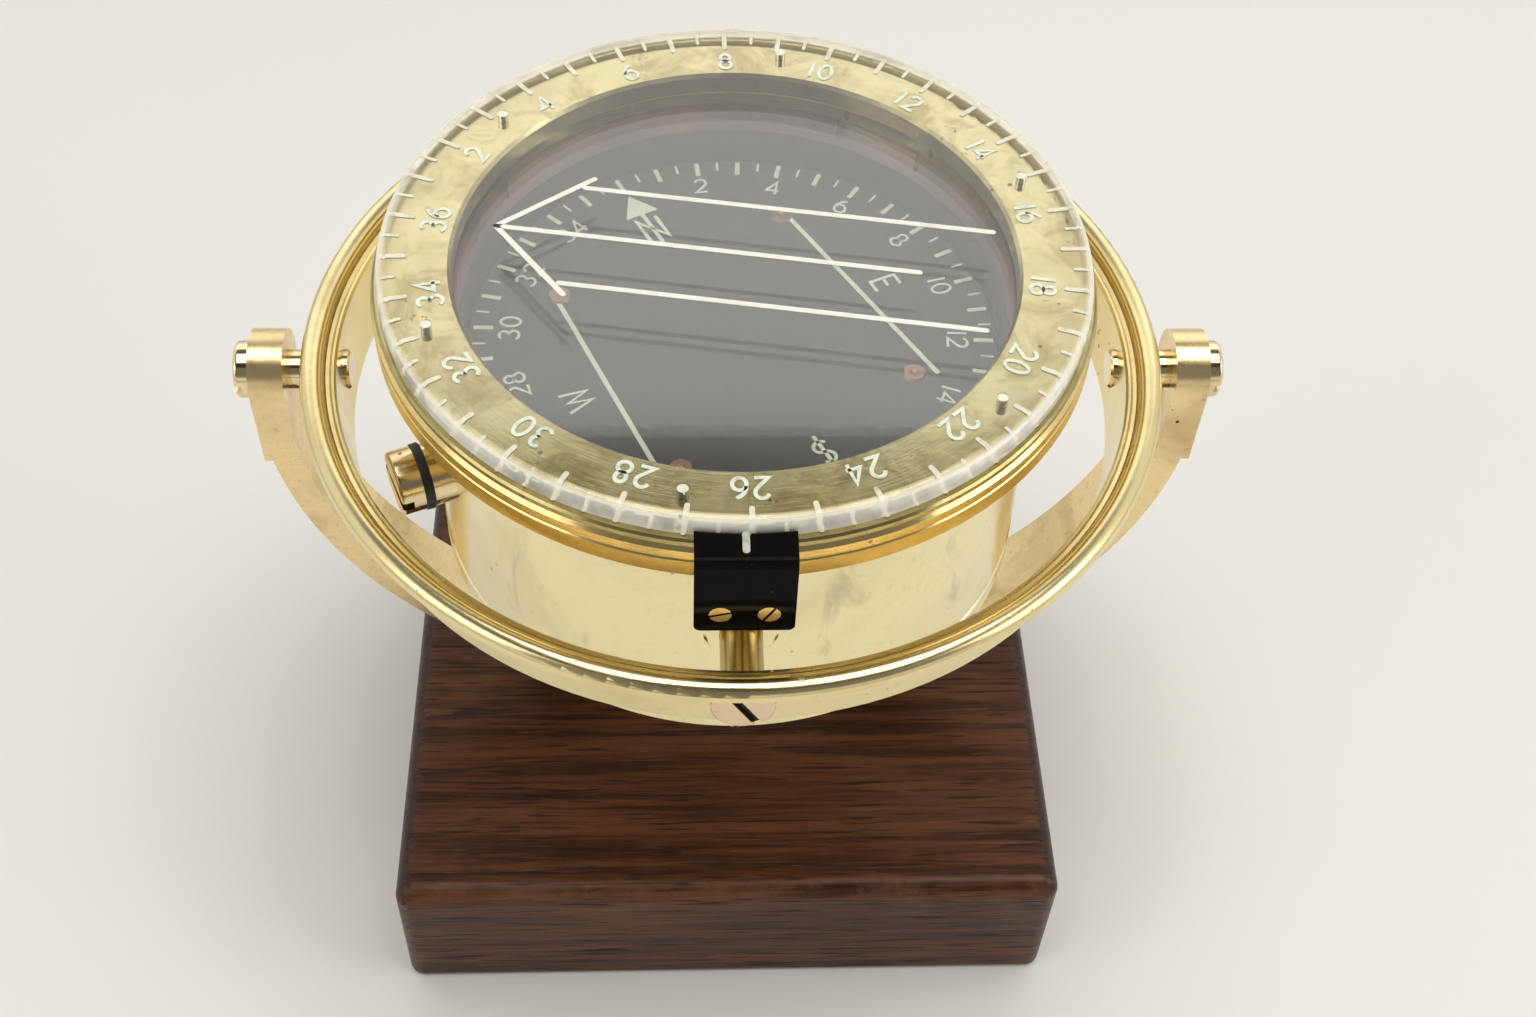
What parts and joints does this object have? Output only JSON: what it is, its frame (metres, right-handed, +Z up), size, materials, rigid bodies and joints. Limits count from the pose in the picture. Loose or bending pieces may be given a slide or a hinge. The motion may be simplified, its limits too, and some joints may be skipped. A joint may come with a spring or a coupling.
{
  "type": "ship compass",
  "caption": "Liquid compass with a turning clear grid over the card, hung in a gimbal ring on a brass yoke that stands on a rounded wooden block.",
  "frame": {"origin": "centre of the wooden block's underside", "axes": "+X along the outer gimbal axis, to the right seen from the index bracket; -Y toward the index bracket, the front; +Z up"},
  "size_m": [0.232, 0.1992, 0.2021],
  "materials": {
    "mahogany": "waxed mahogany, worn at the edges",
    "yoke_brass": "satin cast brass, aged",
    "ring_brass": "polished brass",
    "bowl_brass": "polished pale brass",
    "rim_brass": "turned and lacquered brass",
    "screw_brass": "machined brass",
    "pivot_metal": "copper-toned bronze",
    "dark_screw": "darkened screw",
    "glass": "clear flat glass",
    "clear_acrylic": "clear acrylic with a frosted edge",
    "black_rubber": "black rubber",
    "black_enamel": "gloss black enamel",
    "well_paint": "dark paint",
    "card_face": "matt black card",
    "copper": "copper eyelet",
    "magnet_steel": "magnet steel",
    "float_metal": "tinned sheet",
    "jewel": "polished sapphire",
    "lead": "dull lead",
    "diaphragm_metal": "thin corrugated sheet"
  },
  "bodies": {
    "stand": {"wooden_base": "mahogany", "yoke": "yoke_brass", "yoke_foot_screws": "screw_brass", "trunnion_screw_left": "screw_brass", "trunnion_screw_right": "screw_brass"},
    "ring": {"gimbal_ring": "ring_brass", "bowl_pivot_screw_front": "pivot_metal", "bowl_pivot_screw_rear": "pivot_metal"},
    "bowl": {"bowl_shell": "bowl_brass", "bowl_rim": "rim_brass", "bowl_pivot_boss_front": "bowl_brass", "bowl_pivot_boss_rear": "bowl_brass", "bezel_ring": "rim_brass", "bezel_screws": "screw_brass", "cover_glass": "glass", "glass_gasket_lower": "black_rubber", "glass_gasket_upper": "black_rubber", "card_well": "well_paint", "lubber_pins": "rim_brass", "pivot_post": "screw_brass", "expansion_diaphragm": "diaphragm_metal", "diaphragm_clamp": "screw_brass", "bottom_cover": "bowl_brass", "bottom_cover_screws": "screw_brass", "ballast_weight": "lead", "filler_boss": "bowl_brass", "filler_washer": "black_rubber", "filler_plug": "rim_brass", "bracket_block": "bowl_brass", "index_bracket": "black_enamel", "bracket_screws": "screw_brass"},
    "grid": {"grid_disc": "clear_acrylic", "verge_ring": "rim_brass", "verge_spring_ring": "dark_screw", "grid_screws": "dark_screw"},
    "card": {"compass_card": "card_face", "card_eyelets": "copper", "card_magnet_west": "magnet_steel", "card_magnet_east": "magnet_steel", "card_float": "float_metal", "card_hub": "screw_brass", "jewel_cup": "jewel"}
  },
  "joints": [
    {"name": "ring_tilt", "type": "hinge", "parent": "stand", "child": "ring", "pos_m": [0, 0, 0.162], "axis": [1, 0, 0], "range_deg": [-60, 60]},
    {"name": "bowl_tilt", "type": "hinge", "parent": "ring", "child": "bowl", "pos_m": [0, 0, 0.162], "axis": [0, 1, 0], "range_deg": [-28, 28]},
    {"name": "grid_turn", "type": "hinge", "parent": "bowl", "child": "grid", "pos_m": [0, 0, 0.162], "axis": [0, 0, 1], "continuous": true},
    {"name": "card_turn", "type": "hinge", "parent": "bowl", "child": "card", "pos_m": [0, 0, 0.162], "axis": [0, 0, 1], "continuous": true}
  ]
}
